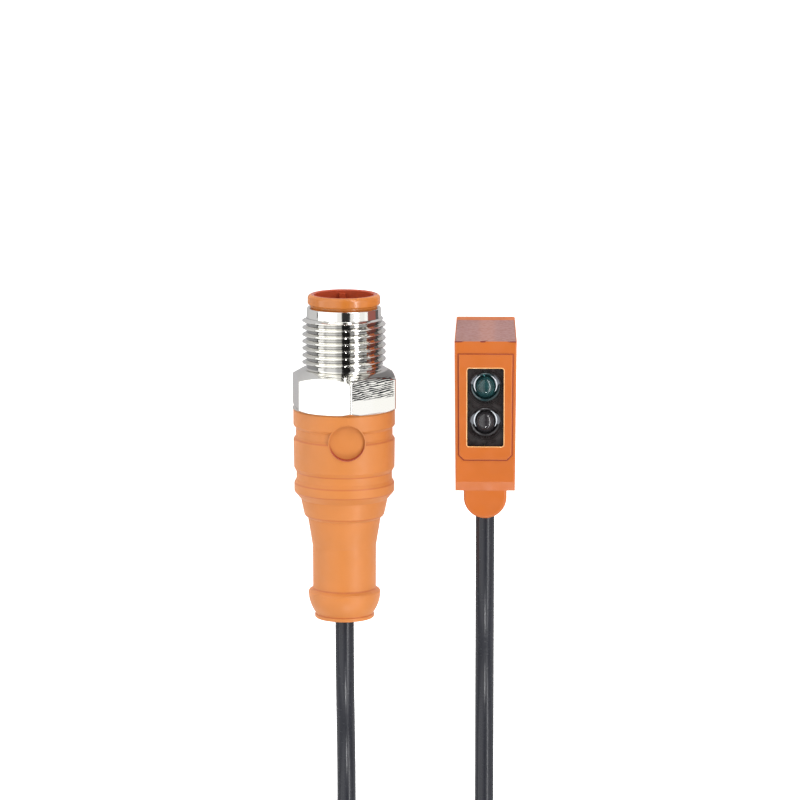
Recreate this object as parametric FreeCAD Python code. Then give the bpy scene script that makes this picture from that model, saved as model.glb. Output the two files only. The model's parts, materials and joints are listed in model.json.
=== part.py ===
import FreeCAD, Part
import math
import os

# A small photoelectric sensor: a flat head with two lenses, a short round cable and an M12 plug.
# Millimetres, +Z up. The head lies on its back with its lenses facing up and its length along Y.
# The origin is under the middle of the head. The plug lies beside it, parallel, with its tip to +Y.

V = FreeCAD.Vector

# ---------------------------------------------------------------- driving dimensions: head
HEAD_FRONT_Z = 15.25        # height of the front face above the back face
HEAD_TOP_Y = 12.1           # front edge of the top face
HEAD_BOTTOM_Y = -9.35       # bottom face
TOP_RISE = 1.25             # the top face slopes: its rear edge stands this much higher
HEAD_HALF_WIDTH = 4.4       # at the top of the front face
DRAFT_DOWN = 0.18           # each side loses this much from top to bottom
DRAFT_BACK = 0.22           # and this much from front to back
WALL = 0.8
FRONT_WALL = 1.85
REAR_EDGE_R = 0.35
EDGE_R = 0.25
BEVEL_LENGTH = 1.35         # the front face slopes away above the bottom face
BEVEL_DROP = 0.5

FRAME_HALF_WIDTH = 3.82     # raised frame round the optics, at its top
FRAME_DRAFT = 0.1           # each side loses this much from top to bottom
FRAME_TOP_Y = HEAD_TOP_Y - 1.8
FRAME_BOTTOM_Y = HEAD_TOP_Y - 16.9
FRAME_PROUD = 0.3
FRAME_SEAT_Z = HEAD_FRONT_Z - 1.25
FRAME_GAP = 0.11            # joint line between frame and shell, at the sides and the bottom
FRAME_TOP_GAP = 0.03
FRAME_CORNER = 0.7          # cut corners at the bottom of the frame

OPTICS_HALF_WIDTH = 2.62
OPTICS_TOP_Y = HEAD_TOP_Y - 3.75
OPTICS_BOTTOM_Y = HEAD_TOP_Y - 15.0
OPTICS_FRONT_Z = HEAD_FRONT_Z - 0.2
OPTICS_REAR_Z = 8.2
OPTICS_CORNER_R = 0.35
RECEIVER_Y = HEAD_TOP_Y - 6.6
EMITTER_Y = HEAD_TOP_Y - 11.6
LENS_R = 1.62               # foot of the dome
LENS_FLANGE_R = 1.8
LENS_SEAT_Z = 13.3
LENS_FLANGE_H = 0.6
LENS_DOME_H = 1.35
BEZEL_R = 2.3
CHANNEL_R = 1.25

WINDOW_THICK = 1.0          # light window in the top face
WINDOW_SIDE = 0.14          # thickness of the shell beside it
WINDOW_REAR_Z = 2.1
WINDOW_FRONT_Z = HEAD_FRONT_Z - 0.2

BOARD_Z = 6.3
BOARD_THICK = 0.8
BOARD_HALF_WIDTH = 3.1
BOARD_TOP_Y = 10.3
BOARD_BOTTOM_Y = -5.1

BUSH_Z = 3.5
BUSH_Y = (9.3, -5.7)        # upper and lower mounting hole, 15 mm apart
BUSH_HOLE_R = 1.6           # clears an M3 screw
BUSH_OUTER_R = 2.1

GROMMET_R = 3.05            # the boss below the head ends in a full half round
GROMMET_LENGTH = 4.05
GROMMET_END_Y = HEAD_BOTTOM_Y - GROMMET_LENGTH
GROMMET_FRONT_Z = HEAD_FRONT_Z - BEVEL_DROP
GROMMET_REAR_Z = 3.65
GROMMET_EDGE_R = 0.4
NECK_HALF_WIDTH = 2.4       # where the boss goes through the bottom wall
NECK_HALF_DEPTH = 3.4
HEAD_CABLE_Z = (GROMMET_FRONT_Z + GROMMET_REAR_Z) / 2

# ---------------------------------------------------------------- driving dimensions: plug
PLUG_X = -20.2
PLUG_Z = 8.15               # the corners of the hexagon clear the table at any turn
PLUG_TIP_Y = 17.8
PLUG_LENGTH = 46.95

RIM_R = 5.2
RIM_LENGTH = 1.5
CARRIER_R = 4.75
SHROUD_R = 4.27
SHROUD_DEPTH = 9.5
CARRIER_LENGTH = 21.0
PIN_CIRCLE_R = 2.5
PIN_R = 0.5
PIN_TIP = 1.8               # distance of the pin tips from the rim
PIN_TAIL = 23.5
KEY_ANGLE = 185.0           # the coding key, round the axis from straight up
PIN_ANGLES = (45.0, 135.0, 225.0, 315.0)

SLEEVE_START = 1.9
SLEEVE_BORE_R = 4.92
COLLAR_R = 5.3
COLLAR_END = 3.0
THREAD_START = 3.3
THREAD_END = 10.2
THREAD_PITCH = 1.0
THREAD_ROOT_R = 5.34
THREAD_CREST_R = 5.97
THREAD_BASE_WIDTH = 0.93
THREAD_SUNK = 0.15          # the ridge starts this far inside the core, so that the two join
THREAD_CREST_WIDTH = 0.14
HEX_START = 10.7
HEX_END = 16.35
HEX_SHOULDER_R = 6.0        # both ends are chamfered at 30 degrees, from these radii outwards
HEX_FOOT_R = 7.5
HEX_ACROSS_FLATS = 14.0
HEX_TURN = 8.5              # degrees that the upper corner is turned from straight up
OVERMOULD_START = 16.45
DIMPLE_AT = 20.4
DIMPLE_R = 2.55
DIMPLE_RIM = 0.12           # width of the thin lip round it
DIMPLE_LIP = 0.07           # the lip stands this much above the grip
DIMPLE_FLOOR_R = 6.45
DIMPLE_TURN = 5.3
GRIP_R = 7.24
INNER_MOULD_R = 4.9
INNER_MOULD_START = 18.8
INNER_MOULD_END = 34.5
JACKET_END = 41.0

# ---------------------------------------------------------------- driving dimensions: cable
CABLE_D = 2.7
CABLE_R = CABLE_D / 2
CORE_R = 0.32
CORE_SPREAD = 0.45          # each core stands this far across from the middle of the jacket
CORE_NAMES = ("brown", "white", "blue", "black")
COIL_X = -10.0
COIL_Y = -78.2
COIL_TURN_R = 13.7          # middle of the turns
COIL_INNER_R = COIL_TURN_R - 1.15 * CABLE_D
COIL_OUTER_R = COIL_TURN_R + 1.05 * CABLE_D
COIL_HEIGHT = 2 * CABLE_D

# The cable's route outside the coil. Each list starts at the end of the jacket inside a housing.
HEAD_ROUTE = [
    (0.0, -7.6, HEAD_CABLE_Z), (0.0, -24.2, HEAD_CABLE_Z), (0.0, -41.2, 1.35),
    (0.0, -55.2, 1.35), (0.0, -66.3, 3.6), (4.5, -74.7, 3.5),
]
PLUG_ROUTE = [
    (PLUG_X, PLUG_TIP_Y - JACKET_END, PLUG_Z), (PLUG_X, -37.3, PLUG_Z), (PLUG_X, -51.9, 1.35),
    (PLUG_X, -66.5, 1.35), (-24.4, -73.9, 1.35),
]

parts = {}


# ---------------------------------------------------------------- helpers
def box(x0, x1, y0, y1, z0, z1):
    """A box between two corners."""
    return Part.makeBox(x1 - x0, y1 - y0, z1 - z0, V(x0, y0, z0))


def rounded_box(x0, x1, y0, y1, z0, z1, radius):
    """A box whose four edges along Z are rounded."""
    solid = box(x0, x1, y0, y1, z0, z1)
    upright = [e for e in solid.Edges if abs(e.tangentAt(e.FirstParameter).z) > 0.99]
    return solid.makeFillet(radius, upright)


def cylinder(radius, base, axis, length):
    return Part.makeCylinder(radius, length, V(*base), V(*axis))


def edges_near(solid, test):
    """The edges whose middle passes a test."""
    return [e for e in solid.Edges if test(e.CenterOfMass)]


def outline(start, *steps):
    """A closed face from (distance from the tip, radius) points. A pair of points is an arc."""
    def at(point):
        return V(point[1], 0, -point[0])

    edges = []
    here = start
    for step in steps + (start,):
        if isinstance(step[0], tuple):
            middle, end = step
            edges.append(Part.Arc(at(here), at(middle), at(end)).toShape())
        else:
            end = step
            edges.append(Part.makeLine(at(here), at(end)))
        here = end
    return Part.Face(Part.Wire(edges))


def lathe(start, *steps):
    """A solid of revolution about the plug's axis, still upright with its tip at the origin."""
    return outline(start, *steps).revolve(V(0, 0, 0), V(0, 0, 1), 360)


def around(angle):
    """A direction across the upright plug, which ends up at this angle from straight up."""
    turn = math.radians(angle)
    return V(math.sin(turn), -math.cos(turn), 0)


def lay_down(solid):
    """Moves an upright plug piece to its place beside the head."""
    solid.rotate(V(0, 0, 0), V(1, 0, 0), -90)
    solid.translate(V(PLUG_X, PLUG_TIP_Y, PLUG_Z))
    return solid


def tube(points, radius, name, report=True):
    """A round tube along straight runs joined by tangent arcs that are as large as the runs allow."""
    points = [V(*p) for p in points]
    runs = [(b - a).Length for a, b in zip(points, points[1:])]
    edges = []
    radii = []
    here = points[0]
    for i in range(1, len(points) - 1):
        before = (points[i] - points[i - 1]).normalize()
        after = (points[i + 1] - points[i]).normalize()
        turn = before.getAngle(after)
        bend = 0.45 * min(runs[i - 1], runs[i]) / math.tan(turn / 2)
        reach = bend * math.tan(turn / 2)
        start = points[i] - before * reach
        end = points[i] + after * reach
        centre_side = (after - before).normalize()
        middle = points[i] + centre_side * (bend / math.cos(turn / 2) - bend)
        edges.append(Part.LineSegment(here, start).toShape())
        edges.append(Part.Arc(start, middle, end).toShape())
        radii.append(bend)
        here = end
    edges.append(Part.LineSegment(here, points[-1]).toShape())
    path = Part.Wire(edges)
    first = (points[1] - points[0]).normalize()
    section = Part.Wire([Part.makeCircle(radius, points[0], first)])
    solid = path.makePipeShell([section], True, False)
    expected = math.pi * radius ** 2 * path.Length
    if report:
        print(f"{name}: length {path.Length:.1f}, radii {[round(r, 1) for r in radii]},",
              f"volume {solid.Volume:.1f} of {expected:.1f}")
    return solid


# ---------------------------------------------------------------- head
def half_width(y, z):
    """The head narrows a little downwards and backwards."""
    down = DRAFT_DOWN * (HEAD_TOP_Y - y) / (HEAD_TOP_Y - HEAD_BOTTOM_Y)
    back = DRAFT_BACK * (HEAD_FRONT_Z - z) / HEAD_FRONT_Z
    return HEAD_HALF_WIDTH - down - back


def top_y(z):
    return HEAD_TOP_Y + TOP_RISE * (HEAD_FRONT_Z - z) / HEAD_FRONT_Z


def head_block():
    """The outer form of the head, with its draft and its sloping top."""
    corners = {}
    for z in (0.0, HEAD_FRONT_Z):
        for y in (HEAD_BOTTOM_Y, top_y(z)):
            for side in (-1, 1):
                corners[side, y > 0, z > 0] = V(side * half_width(y, z), y, z)

    def face(*keys):
        ring = [corners[k] for k in keys]
        return Part.Face(Part.makePolygon(ring + ring[:1]))

    faces = [
        face((-1, 0, 0), (-1, 1, 0), (1, 1, 0), (1, 0, 0)),
        face((-1, 0, 1), (1, 0, 1), (1, 1, 1), (-1, 1, 1)),
        face((-1, 0, 0), (1, 0, 0), (1, 0, 1), (-1, 0, 1)),
        face((-1, 1, 0), (-1, 1, 1), (1, 1, 1), (1, 1, 0)),
        face((-1, 0, 0), (-1, 0, 1), (-1, 1, 1), (-1, 1, 0)),
        face((1, 0, 0), (1, 1, 0), (1, 1, 1), (1, 0, 1)),
    ]
    block = Part.makeSolid(Part.makeShell(faces))
    rear = edges_near(block, lambda m: m.z < 0.01 and abs(m.x) > 4)
    block = block.makeFillet(REAR_EDGE_R, rear)
    soft = edges_near(block, lambda m: m.z > HEAD_FRONT_Z - 0.01 and abs(m.x) > 4)
    block = block.makeFillet(EDGE_R, soft)
    return block.cut(bevel_wedge())


def bevel_wedge():
    """What the bevel takes off the front face, above the bottom face."""
    slope = BEVEL_DROP / BEVEL_LENGTH
    ring = [V(-6, HEAD_BOTTOM_Y + BEVEL_LENGTH, HEAD_FRONT_Z), V(-6, HEAD_BOTTOM_Y - 1, HEAD_FRONT_Z),
            V(-6, HEAD_BOTTOM_Y - 1, HEAD_FRONT_Z - BEVEL_DROP - slope)]
    side = Part.Face(Part.makePolygon(ring + ring[:1]))
    return side.extrude(V(12, 0, 0))


def window_plate(clearance):
    """The plate in the sloping top. Its pocket is the same plate, a little larger."""
    z0 = WINDOW_REAR_Z - clearance
    z1 = WINDOW_FRONT_Z + clearance
    x0 = half_width(HEAD_TOP_Y, z0) - WINDOW_SIDE + clearance
    x1 = half_width(HEAD_TOP_Y, z1) - WINDOW_SIDE + clearance
    ring = [V(-x0, top_y(z0), z0), V(x0, top_y(z0), z0), V(x1, top_y(z1), z1), V(-x1, top_y(z1), z1)]
    outside = Part.Face(Part.makePolygon(ring + ring[:1]))
    return outside.extrude(V(0, -WINDOW_THICK - clearance, 0))


def frame_block(clearance, top_clearance):
    """The outer form of the front frame, with cut corners at the bottom."""
    x1 = FRAME_HALF_WIDTH + clearance
    x0 = x1 - FRAME_DRAFT
    y0 = FRAME_BOTTOM_Y - clearance
    y1 = FRAME_TOP_Y + top_clearance
    z1 = HEAD_FRONT_Z + FRAME_PROUD
    ring = [V(-x1, y1, 0), V(x1, y1, 0), V(x0, y0 + FRAME_CORNER, 0), V(x0 - FRAME_CORNER, y0, 0),
            V(FRAME_CORNER - x0, y0, 0), V(-x0, y0 + FRAME_CORNER, 0)]
    plan = Part.Face(Part.makePolygon(ring + ring[:1]))
    plan.translate(V(0, 0, FRAME_SEAT_Z))
    return plan.extrude(V(0, 0, z1 - FRAME_SEAT_Z))


def optics_block(grow, z0, z1):
    return rounded_box(-OPTICS_HALF_WIDTH - grow, OPTICS_HALF_WIDTH + grow, OPTICS_BOTTOM_Y - grow,
                       OPTICS_TOP_Y + grow, z0, z1, OPTICS_CORNER_R + grow)


def housing_shell():
    shell = head_block()
    inner_x = half_width(HEAD_BOTTOM_Y, 0) - WALL
    front_z = HEAD_FRONT_Z - FRONT_WALL
    shell = shell.cut(box(-inner_x, inner_x, HEAD_BOTTOM_Y + WALL, HEAD_TOP_Y - 1.7, -1, front_z))
    shell = shell.cut(rear_cover(0.04))
    shell = shell.cut(window_plate(0.02))
    shell = shell.cut(box(-3.1, 3.1, HEAD_TOP_Y - 3, HEAD_TOP_Y + 1, 3.2, 12.8))
    shell = shell.cut(frame_block(FRAME_GAP, FRAME_TOP_GAP))
    shell = shell.cut(optics_block(0.02, 8, HEAD_FRONT_Z))
    shell = shell.cut(grommet_neck())
    for y in BUSH_Y:
        shell = shell.cut(cylinder(BUSH_OUTER_R, (-6, y, BUSH_Z), (1, 0, 0), 12))
    return shell


def rear_cover(grow=0.0):
    """The plate that closes the back, set in a rim."""
    x = half_width(HEAD_BOTTOM_Y, 0) - WALL / 2 + grow
    y0 = HEAD_BOTTOM_Y + WALL / 2 - grow
    y1 = HEAD_TOP_Y + 0.6 + grow
    return rounded_box(-x, x, y0, y1, 0.0, 1.0, 0.8)


def front_frame():
    frame = frame_block(0.0, 0.0)
    rim = edges_near(frame, lambda m: m.z > HEAD_FRONT_Z + FRAME_PROUD - 0.01)
    frame = frame.makeFillet(0.18, rim)
    frame = frame.cut(optics_block(0.03, FRAME_SEAT_Z - 1, HEAD_FRONT_Z + 1))
    frame = frame.cut(optics_block(0.53, FRAME_SEAT_Z - 1, FRAME_SEAT_Z + 0.65))
    mouth = edges_near(frame, lambda m: m.z > HEAD_FRONT_Z + FRAME_PROUD - 0.01
                       and abs(m.x) < OPTICS_HALF_WIDTH + 0.1 and m.y < OPTICS_TOP_Y + 0.1
                       and m.y > OPTICS_BOTTOM_Y - 0.1)
    return frame.makeFillet(0.14, mouth)


def optics_carrier():
    carrier = optics_block(0.0, OPTICS_REAR_Z, OPTICS_FRONT_Z)
    carrier = carrier.fuse(optics_block(0.5, FRAME_SEAT_Z, FRAME_SEAT_Z + 0.6))
    for y in (RECEIVER_Y, EMITTER_Y):
        carrier = carrier.cut(cylinder(CHANNEL_R, (0, y, OPTICS_REAR_Z - 1), (0, 0, 1), 10))
        carrier = carrier.cut(cylinder(LENS_FLANGE_R, (0, y, LENS_SEAT_Z), (0, 0, 1), 5))
        depth = 0.8
        bezel = Part.makeCone(LENS_FLANGE_R, BEZEL_R, depth, V(0, y, OPTICS_FRONT_Z - depth))
        carrier = carrier.cut(bezel)
        groove = cylinder(BEZEL_R + 0.22, (0, y, OPTICS_FRONT_Z - 0.12), (0, 0, 1), 1)
        carrier = carrier.cut(groove.cut(cylinder(BEZEL_R + 0.1, (0, y, 0), (0, 0, 1), 20)))
    return carrier


def lens(y):
    """A flanged lens with a dome in front and a shallow curve behind."""
    flange = cylinder(LENS_FLANGE_R, (0, y, LENS_SEAT_Z), (0, 0, 1), LENS_FLANGE_H)
    ball_r = (LENS_R ** 2 + LENS_DOME_H ** 2) / (2 * LENS_DOME_H)
    foot_z = LENS_SEAT_Z + LENS_FLANGE_H
    ball = Part.makeSphere(ball_r, V(0, y, foot_z + LENS_DOME_H - ball_r))
    dome = ball.common(cylinder(LENS_R, (0, y, foot_z - 0.1), (0, 0, 1), 4))
    return flange.fuse(dome).removeSplitter()


def light_window():
    plate = window_plate(0.0)
    gate = cylinder(0.3, (0, HEAD_TOP_Y - 0.5, HEAD_FRONT_Z - 0.55), (0, 1, 0), 0.62)
    return plate.fuse(gate).removeSplitter()


def main_board():
    board = box(-BOARD_HALF_WIDTH, BOARD_HALF_WIDTH, BOARD_BOTTOM_Y, BOARD_TOP_Y,
                BOARD_Z, BOARD_Z + BOARD_THICK)
    for side in (-1, 1):
        for y in (-3.3, 9.7):
            board = board.cut(cylinder(0.45, (side * BOARD_HALF_WIDTH, y, 0), (0, 0, 1), 20))
    return board


def chip(x, y, half_x, half_y, height, side=1):
    """A chip on the front of the board, or on its back when side is -1."""
    z = BOARD_Z + BOARD_THICK if side > 0 else BOARD_Z - height
    return box(x - half_x, x + half_x, y - half_y, y + half_y, z, z + height)


def capacitors():
    group = [chip(x, y, 0.3, 0.5, 0.5, side=-1) for x in (-2.2, -1.0, 1.0, 2.2) for y in (6.3, -1.3)]
    return Part.makeCompound(group)


def mounting_bush(y):
    reach = half_width(y, BUSH_Z)
    outer = cylinder(BUSH_OUTER_R, (-reach, y, BUSH_Z), (1, 0, 0), 2 * reach)
    return outer.cut(cylinder(BUSH_HOLE_R, (-reach - 1, y, BUSH_Z), (1, 0, 0), 2 * reach + 2))


def grommet_neck():
    """The part of the boss that fills its hole in the bottom wall."""
    return box(-NECK_HALF_WIDTH, NECK_HALF_WIDTH, HEAD_BOTTOM_Y, HEAD_BOTTOM_Y + WALL,
               HEAD_CABLE_Z - NECK_HALF_DEPTH, HEAD_CABLE_Z + NECK_HALF_DEPTH)


def cable_grommet():
    """The boss that the cable leaves by, and its flange inside the bottom wall."""
    round_y = GROMMET_END_Y + GROMMET_R
    boss = box(-GROMMET_R, GROMMET_R, round_y, HEAD_BOTTOM_Y, GROMMET_REAR_Z, GROMMET_FRONT_Z)
    end = cylinder(GROMMET_R, (0, round_y, GROMMET_REAR_Z), (0, 0, 1), GROMMET_FRONT_Z - GROMMET_REAR_Z)
    outside = box(-6, 6, GROMMET_END_Y - 1, HEAD_BOTTOM_Y, 0, HEAD_FRONT_Z)
    boss = boss.fuse(end).common(outside).removeSplitter()
    rims = edges_near(boss, lambda m: m.y < HEAD_BOTTOM_Y - 0.01
                      and (m.z < GROMMET_REAR_Z + 0.01 or m.z > GROMMET_FRONT_Z - 0.01))
    boss = boss.makeFillet(GROMMET_EDGE_R, rims)
    flange = box(-3.0, 3.0, HEAD_BOTTOM_Y + WALL, HEAD_BOTTOM_Y + WALL + 0.6,
                 HEAD_CABLE_Z - NECK_HALF_DEPTH - 0.4, HEAD_CABLE_Z + NECK_HALF_DEPTH + 0.4)
    grommet = boss.fuse(grommet_neck()).fuse(flange)
    return grommet.cut(cylinder(CABLE_R, (0, -20, HEAD_CABLE_Z), (0, 1, 0), 20))


def head_ferrule():
    """A crimped metal band on the end of the jacket."""
    y = HEAD_ROUTE[0][1] - 0.2
    band = cylinder(CABLE_R + 0.25, (0, y, HEAD_CABLE_Z), (0, 1, 0), 0.9)
    return band.cut(cylinder(CABLE_R, (0, y - 1, HEAD_CABLE_Z), (0, 1, 0), 3))


def head_core(index):
    """A core from the jacket to its pad at the lower edge of the board."""
    side = (-1, -1, 1, 1)[index]
    above = (1, -1, -1, 1)[index]
    pad_x = side * (2.2 if above > 0 else 0.8)
    pad_z = BOARD_Z + BOARD_THICK + CORE_R + 0.02
    start_y = HEAD_ROUTE[0][1]
    start_z = HEAD_CABLE_Z + above * CORE_SPREAD
    points = [(side * CORE_SPREAD, start_y, start_z), (side * CORE_SPREAD, start_y + 0.7, start_z),
              (pad_x, BOARD_BOTTOM_Y - 0.4, pad_z), (pad_x, BOARD_BOTTOM_Y + 1.3, pad_z)]
    return tube(points, CORE_R, "core", report=False)


# ---------------------------------------------------------------- plug
def contact_carrier():
    """The insert that holds the pins. Its rim keeps the coupling sleeve from coming off."""
    body = lathe((0.0, SHROUD_R + 0.18), ((0.03, RIM_R - 0.35), (0.4, RIM_R)), (RIM_LENGTH - 0.2, RIM_R),
                 (RIM_LENGTH, RIM_R - 0.2), (RIM_LENGTH, CARRIER_R + 0.1), (SLEEVE_START, CARRIER_R),
                 (13.0, CARRIER_R), (13.0, 4.35), (14.0, 4.35), (14.0, CARRIER_R),
                 (OVERMOULD_START, CARRIER_R), (OVERMOULD_START, 4.3), (CARRIER_LENGTH, 4.3),
                 (CARRIER_LENGTH, 0.0), (SHROUD_DEPTH, 0.0), (SHROUD_DEPTH, SHROUD_R), (0.15, SHROUD_R))
    key = box(-0.45, 0.45, SHROUD_R - 0.75, SHROUD_R + 0.15, -SHROUD_DEPTH, -0.5)
    key.rotate(V(0, 0, 0), V(0, 0, 1), KEY_ANGLE - 180)
    body = body.fuse(key)
    for angle in PIN_ANGLES:
        foot = around(angle) * PIN_CIRCLE_R
        body = body.cut(Part.makeCylinder(PIN_R, 40, V(foot.x, foot.y, -40)))
    return lay_down(body)


def contact_pin(angle):
    """A turned pin with a rounded tip and a solder cup at its tail."""
    pin = lathe((PIN_TIP, 0.0), ((PIN_TIP + 0.12, PIN_R * 0.72), (PIN_TIP + 0.5, PIN_R)),
                (PIN_TAIL, PIN_R), (PIN_TAIL, CORE_R), (PIN_TAIL - 1.5, CORE_R), (PIN_TAIL - 1.5, 0.0))
    pin.translate(around(angle) * PIN_CIRCLE_R)
    return lay_down(pin)


def sealing_ring():
    ring = Part.makeTorus(4.6, 0.25, V(0, 0, -13.5))
    return lay_down(ring)


def coupling_sleeve():
    """The nut: a collar, the M12x1 thread and a hexagon in one turned piece."""
    core = lathe((SLEEVE_START, SLEEVE_BORE_R + 0.1), (SLEEVE_START, COLLAR_R - 0.12),
                 (SLEEVE_START + 0.12, COLLAR_R), (COLLAR_END, COLLAR_R), (COLLAR_END, THREAD_ROOT_R),
                 (HEX_START + 0.2, THREAD_ROOT_R), (HEX_START + 0.2, SLEEVE_BORE_R),
                 (SLEEVE_START + 0.1, SLEEVE_BORE_R))
    sleeve = core.fuse(hexagon()).fuse(thread_ridge())
    return lay_down(sleeve)


def thread_ridge():
    """The helical ridge, which runs out in a cone at each end."""
    first_turn = math.ceil(THREAD_END) + 0.28
    height = first_turn - math.floor(THREAD_START) + 0.45
    helix = Part.makeHelix(THREAD_PITCH, height, THREAD_ROOT_R)
    inner = THREAD_ROOT_R - THREAD_SUNK
    base = THREAD_BASE_WIDTH / 2
    crest = THREAD_CREST_WIDTH / 2
    ring = [V(inner, 0, -base), V(THREAD_CREST_R, 0, -crest),
            V(THREAD_CREST_R, 0, crest), V(inner, 0, base)]
    sweep = Part.BRepOffsetAPI.MakePipeShell(helix)
    sweep.setFrenetMode(True)
    sweep.add(Part.makePolygon(ring + ring[:1]), False, False)
    sweep.build()
    sweep.makeSolid()
    ridge = sweep.shape()
    ridge.translate(V(0, 0, -first_turn))
    deep = THREAD_ROOT_R - 0.4
    start = THREAD_START - 0.24
    end = THREAD_END + 0.2
    limits = lathe((start, 4.0), (start, deep), (THREAD_START + 0.5, 6.2), (THREAD_END - 0.4, 6.2),
                   (end, deep), (end, 4.0))
    return ridge.common(limits)


def hexagon():
    corner_r = HEX_ACROSS_FLATS / math.sqrt(3)
    ring = [around(HEX_TURN + 60 * k) * corner_r for k in range(6)]
    prism = Part.Face(Part.makePolygon(ring + ring[:1])).extrude(V(0, 0, HEX_START - HEX_END))
    prism.translate(V(0, 0, -HEX_START))
    slope = math.tan(math.radians(30))
    outer_r = corner_r + 0.3
    chamfer = lathe((HEX_START, 0.0), (HEX_START, HEX_SHOULDER_R),
                    (HEX_START + (outer_r - HEX_SHOULDER_R) * slope, outer_r),
                    (HEX_END - (outer_r - HEX_FOOT_R) * slope, outer_r), (HEX_END, HEX_FOOT_R),
                    (HEX_END, 0.0))
    return prism.common(chamfer).cut(Part.makeCylinder(SLEEVE_BORE_R, 30, V(0, 0, -25)))


def overmould_outline():
    """The outer outline of the overmould, from the sleeve to the cable."""
    return (
        (OVERMOULD_START, 7.1), (OVERMOULD_START + 0.2, 7.275), (18.75, 7.275), (18.85, 7.2),
        (19.2, 6.92), (20.4, 6.92), (20.75, 7.2), (20.9, 7.265), (24.9, 7.2), (25.05, 7.12),
        (25.55, 6.85), (26.6, 6.85), (27.1, 7.12), (27.25, 7.18), (28.35, 7.17), (28.55, 7.05),
        (29.3, 6.4), (29.5, 6.23), (31.8, 5.73), (32.0, 5.6), (32.3, 5.22), (36.4, 4.56),
        (42.5, 4.53), (42.65, 4.6), (42.95, 5.05), (43.15, 5.18), ((44.7, 4.94), (46.25, 4.17)),
        (46.35, 4.17), (46.45, 4.27), (PLUG_LENGTH - 0.1, 4.27), (PLUG_LENGTH, 4.17),
    )


def plug_overmould():
    """The soft outer grip, with its cavity for the inner mould and its bore for the jacket."""
    steps = overmould_outline()
    body = lathe((OVERMOULD_START, 4.3), *steps, (PLUG_LENGTH, CABLE_R), (INNER_MOULD_END, CABLE_R),
                 (INNER_MOULD_END, INNER_MOULD_R - 1.2), (INNER_MOULD_END - 3, INNER_MOULD_R),
                 (INNER_MOULD_START, INNER_MOULD_R), (INNER_MOULD_START, 4.3))
    out = around(DIMPLE_TURN)
    foot = V(0, 0, -DIMPLE_AT) + out * DIMPLE_FLOOR_R
    dimple = Part.makeCylinder(DIMPLE_R, 3, foot, out)
    lip = Part.makeCylinder(DIMPLE_R + DIMPLE_RIM, 3, foot, out).common(grip_skin()).cut(dimple)
    ferrule = lathe((JACKET_END, 0.0), (JACKET_END, CABLE_R + 0.3), (JACKET_END + 3, CABLE_R + 0.3),
                    (JACKET_END + 3, 0.0))
    body = body.fuse(lip).cut(dimple).cut(ferrule)
    return lay_down(body)


def grip_skin():
    """A plain round form just above the grip, which trims the dimple's lip."""
    skin_r = GRIP_R + DIMPLE_LIP
    return lathe((OVERMOULD_START + 0.1, 0.0), (OVERMOULD_START + 0.1, skin_r), (30.0, skin_r), (30.0, 0.0))


def inner_mould():
    """A stiff shell round the solder joints."""
    body = lathe((INNER_MOULD_START, 4.3), (INNER_MOULD_START, INNER_MOULD_R),
                 (INNER_MOULD_END - 3, INNER_MOULD_R),
                 (INNER_MOULD_END, INNER_MOULD_R - 1.2), (INNER_MOULD_END, 2.2), (INNER_MOULD_END - 1, 2.2),
                 (INNER_MOULD_END - 2.5, 3.6), (CARRIER_LENGTH, 3.6), (CARRIER_LENGTH, 4.3))
    return lay_down(body)


def plug_ferrule():
    band = lathe((JACKET_END, CABLE_R), (JACKET_END, CABLE_R + 0.3), (JACKET_END + 3, CABLE_R + 0.3),
                 (JACKET_END + 3, CABLE_R))
    return lay_down(band)


def plug_core(index):
    """A core from a solder cup to the end of the jacket."""
    direction = around(PIN_ANGLES[index])
    points = []
    for distance, radius in ((PIN_TAIL - 1.5, PIN_CIRCLE_R), (PIN_TAIL + 2.5, PIN_CIRCLE_R),
                             (INNER_MOULD_END - 1.5, 0.6), (JACKET_END, 0.6)):
        points.append((direction.x * radius, direction.y * radius, -distance))
    return lay_down(tube(points, CORE_R, "core", report=False))


# ---------------------------------------------------------------- cable
def cable_coil():
    """The outer form of the coil, a rounded ring that lies on the table."""
    ring = box(COIL_INNER_R, COIL_OUTER_R, -1, 1, 0, COIL_HEIGHT)
    section = ring.slice(V(0, 1, 0), 0)[0]
    coil = Part.Face(section).revolve(V(0, 0, 0), V(0, 0, 1), 360)
    coil = coil.makeFillet(1.0, [e for e in coil.Edges if e.Closed and abs(e.CenterOfMass.x) < 0.01])
    coil.translate(V(COIL_X, COIL_Y, 0))
    return coil


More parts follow.
